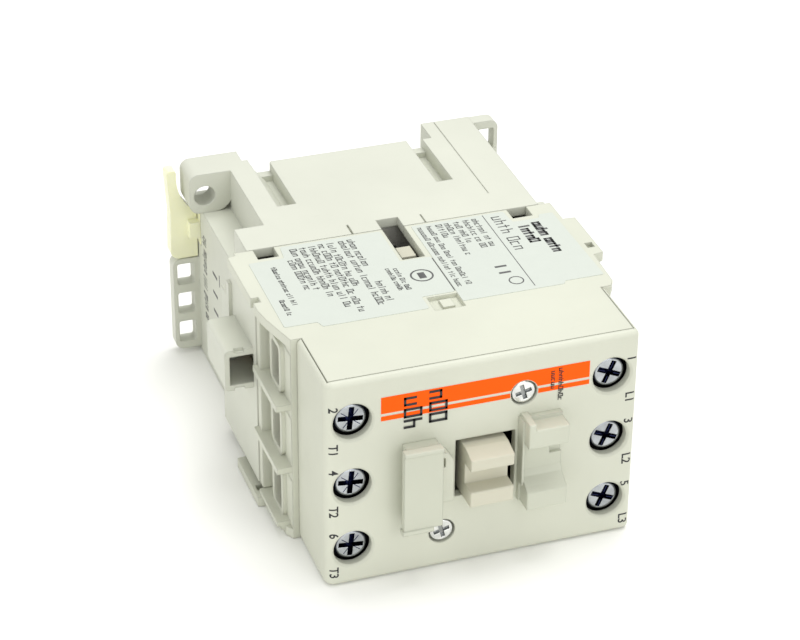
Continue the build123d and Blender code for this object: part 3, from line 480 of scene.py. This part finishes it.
def face_print(name, columns, material):
    """Unreadable print on the cover face, in columns that run downwards."""
    boxes = []
    for x, z_start, letters, tall, step in columns:
        wide = step * 1.5
        z = z_start
        for _ in range(letters):
            for a0, a1, u0, u1 in random.choice(GLYPHS[1:3] + GLYPHS[5:]):
                boxes.append(((x + (u0 - 0.4) * tall, FACE_PRINT_Y - INK, z - a1 * wide),
                              (x + (u1 - 0.4) * tall, FACE_PRINT_Y, z - a0 * wide)))
            z -= step
    bars(name, boxes, material)


# columns are (middle x, start z, letters, letter height, step)
face_print("front_type_print", [(-9.4, 17.6, 3, 3.6, 2.45), (-14.3, 17.1, 3, 3.6, 2.45)],
           black_ink)
face_print("front_small_print", [(15.0, 17.5, 9, 1.0, 0.8), (13.5, 17.1, 5, 1.0, 0.8)], black_ink)


COVER_TREE = BVHTree.FromObject(nodes["front_cover"], bpy.context.evaluated_depsgraph_get())
CORNER_X = 30.6                 # the outermost cut, close to the end of the cover
CORNER_CUTS = 14
CUT_STEP = 0.15
CORNER_DEPTH = 1.5              # a ray that lands deeper than this has missed the face


def lay_on_cover(mesh, outer_x):
    """Cut a mark into strips near the rounded corner and lay it on the cover."""
    work = bmesh.new()
    work.from_mesh(mesh)
    for step in range(CORNER_CUTS):
        plane_x = math.copysign(abs(outer_x) - CUT_STEP * step, outer_x) * MM
        bmesh.ops.bisect_plane(work, geom=work.verts[:] + work.edges[:] + work.faces[:],
                               plane_co=(plane_x, 0, 0), plane_no=(1, 0, 0))
    for vertex in work.verts:
        start = Vector((vertex.co.x, 2 * COVER_Y * MM, vertex.co.z))
        hit = COVER_TREE.ray_cast(start, Vector((0, 1, 0)))[0]
        if hit is not None and hit.y < (COVER_Y + CORNER_DEPTH) * MM:
            vertex.co.y += hit.y - COVER_Y * MM
    work.to_mesh(mesh)
    work.free()


MARK_LIFT = 0.012               # middle of a mark, in front of the cover
MARK_HALF = 0.01                # half the thickness of a mark
MARK_BOLD = 0.045               # how much heavier than the font the strokes are
FONT_SCALE = 1.35               # font size for a capital of height 1
NARROW = 0.95                   # width of a letter against the font's


def terminal_mark(word, x, z, height):
    """One printed terminal mark, reading downwards as on the device."""
    curve = bpy.data.curves.new("mark_" + word, "FONT")
    curve.body = word
    curve.size = height * MM * FONT_SCALE
    curve.extrude = MARK_HALF * MM
    curve.offset = MARK_BOLD * MM
    curve.align_x = "CENTER"
    curve.align_y = "CENTER"
    raw = bpy.data.objects.new("mark_" + word, curve)
    bpy.context.scene.collection.objects.link(raw)
    bpy.context.view_layer.update()
    mesh = bpy.data.meshes.new_from_object(raw)
    bpy.data.objects.remove(raw)
    obj = bpy.data.objects.new("mark_" + word, mesh)
    bpy.context.scene.collection.objects.link(obj)
    turn = Matrix(((0, 1, 0), (0, 0, -1), (-NARROW, 0, 0))).to_4x4()
    mesh.transform(Matrix.Translation(Vector((x, COVER_Y - MARK_LIFT, z)) * MM) @ turn)
    lay_on_cover(mesh, math.copysign(CORNER_X, x))
    dress(obj, black_ink)
    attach(obj, "housing_group")


# (middle x, letter height, marks with their middle z)
MARK_COLUMNS = (
    (-29.3, 1.75, (("2", 16.9), ("T1", 8.2), ("4", 3.3), ("T2", -5.5), ("6", -10.9),
                   ("T3", -19.4))),
    (29.2, 1.9, (("1", 16.8), ("L1", 8.2), ("3", 2.9), ("L2", -5.7), ("5", -11.5),
                 ("L3", -19.7))),
)
for mark_x, mark_height, marks in MARK_COLUMNS:
    for word, mark_z in marks:
        terminal_mark(word, mark_x, mark_z, mark_height)


TICK_IN, TICK_OUT = 0.9, 2.35   # a tick runs between these radii
TICK_HALF = 0.07                # half the width of a tick


def recess_ticks(name, x, z, turn, body):
    """Four fine radial ticks between the arms of a cross recess, in dark blue that is painted
    shade.
    """
    points, faces = [], []
    for quarter in range(4):
        angle = math.radians(turn + 45 + 90 * quarter)
        along = Vector((math.cos(angle), 0, math.sin(angle)))
        across = Vector((-math.sin(angle), 0, math.cos(angle)))
        faces += box_faces(len(points))
        for depth in (SCREW_Y - 0.03, SCREW_Y + 0.02):
            for reach, side in ((TICK_IN, -1), (TICK_OUT, -1), (TICK_OUT, 1), (TICK_IN, 1)):
                at = Vector((x, depth, z)) + along * reach + across * TICK_HALF * side
                points.append(tuple(at))
    new_mesh(name, points, faces, deep_blue, body)


for letter, screw_x, recess_turn in (("t", -SCREW_X, 6), ("l", SCREW_X, 24)):
    for row, row_z in enumerate(ROWS, start=1):
        recess_ticks("recess_ticks_%s%d" % (letter, row), screw_x, row_z, recess_turn,
                     "screw_%s%d" % (letter, row))


def squashed_spring(node, body):
    """Visible copy of a CAD spring, hung on a body; the CAD spring itself is hidden."""
    source = nodes[node]
    obj = bpy.data.objects.new(node + "_coil", source.data.copy())
    bpy.context.scene.collection.objects.link(obj)
    dress(obj, spring_wire)
    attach(obj, body)
    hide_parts(node)
    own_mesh(obj)


for spot in ("upper", "lower"):
    squashed_spring("return_spring_" + spot, "housing_group")
for pole in (1, 2, 3):
    squashed_spring("contact_spring_%d" % pole, "contact_carrier_group")
squashed_spring("latch_spring", "housing_group")

# ------------------------------------------------------------------ studio
half = 1.5                      # half the side of the floor, in metres
floor_z = -TOP_Z * MM - 0.0001  # a hair under the device
floor_mesh = bpy.data.meshes.new("floor")
floor_mesh.from_pydata([(-half, -half, floor_z), (half, -half, floor_z), (half, half, floor_z),
                        (-half, half, floor_z)], [], [(0, 1, 2, 3)])
floor = bpy.data.objects.new("floor", floor_mesh)
bpy.context.scene.collection.objects.link(floor)
paper = Shader("floor_paper")
tone = paper.ramp(paper.noise(6, 3), [(0.3, (0.90, 0.90, 0.875)), (0.7, (0.93, 0.93, 0.905))])
paper.link(tone, paper.bsdf.inputs["Base Color"])
paper.bsdf.inputs["Roughness"].default_value = 0.8
floor_mesh.materials.append(paper.material)

world = bpy.data.worlds.new("studio")
bpy.context.scene.world = world
world.use_nodes = True
world.node_tree.nodes["Background"].inputs["Color"].default_value = (1.0, 1.0, 0.985, 1)
world.node_tree.nodes["Background"].inputs["Strength"].default_value = 0.66

LIGHT_AIM = Vector((0, -0.03, 0))


def area_light(name, place, size, power):
    """Soft square light that points at the middle of the device."""
    lamp = bpy.data.lights.new(name, "AREA")
    lamp.size = size
    lamp.energy = power
    obj = bpy.data.objects.new(name, lamp)
    bpy.context.scene.collection.objects.link(obj)
    obj.location = place
    direction = LIGHT_AIM - Vector(place)
    obj.rotation_mode = "QUATERNION"
    obj.rotation_quaternion = direction.to_track_quat("-Z", "Y")


area_light("key_above", (0.15, 0.05, 0.75), 0.55, 4.4)
area_light("front_fill", (0.1, -0.85, 0.35), 0.6, 2.4)
area_light("left_fill", (-0.8, -0.2, 0.35), 0.5, 1.45)

# ------------------------------------------------------------------ camera
view_azimuth = math.radians(-19.126)
view_elevation = math.radians(31.157)
view_roll = math.radians(0.465)
view_distance = 0.5305
aim_point = Vector((-0.000115, -0.0385915, 0.0033578))
back = Vector((math.sin(view_azimuth) * math.cos(view_elevation),
               -math.cos(view_azimuth) * math.cos(view_elevation), math.sin(view_elevation)))
right = Vector((0, 0, 1)).cross(back).normalized()
up = back.cross(right)
axes = Matrix((right, up, back)).transposed() @ Matrix.Rotation(view_roll, 3, "Z")
lens = bpy.data.cameras.new("camera")
lens.lens = 118.96
lens.sensor_width = 36
lens.clip_start = 0.01
lens.clip_end = 20
camera = bpy.data.objects.new("camera", lens)
bpy.context.scene.collection.objects.link(camera)
camera.rotation_mode = "QUATERNION"
camera.location = aim_point + back * view_distance
camera.rotation_quaternion = axes.to_quaternion()
bpy.context.scene.camera = camera

scene = bpy.context.scene
scene.view_settings.view_transform = "Standard"
scene.view_settings.look = "None"
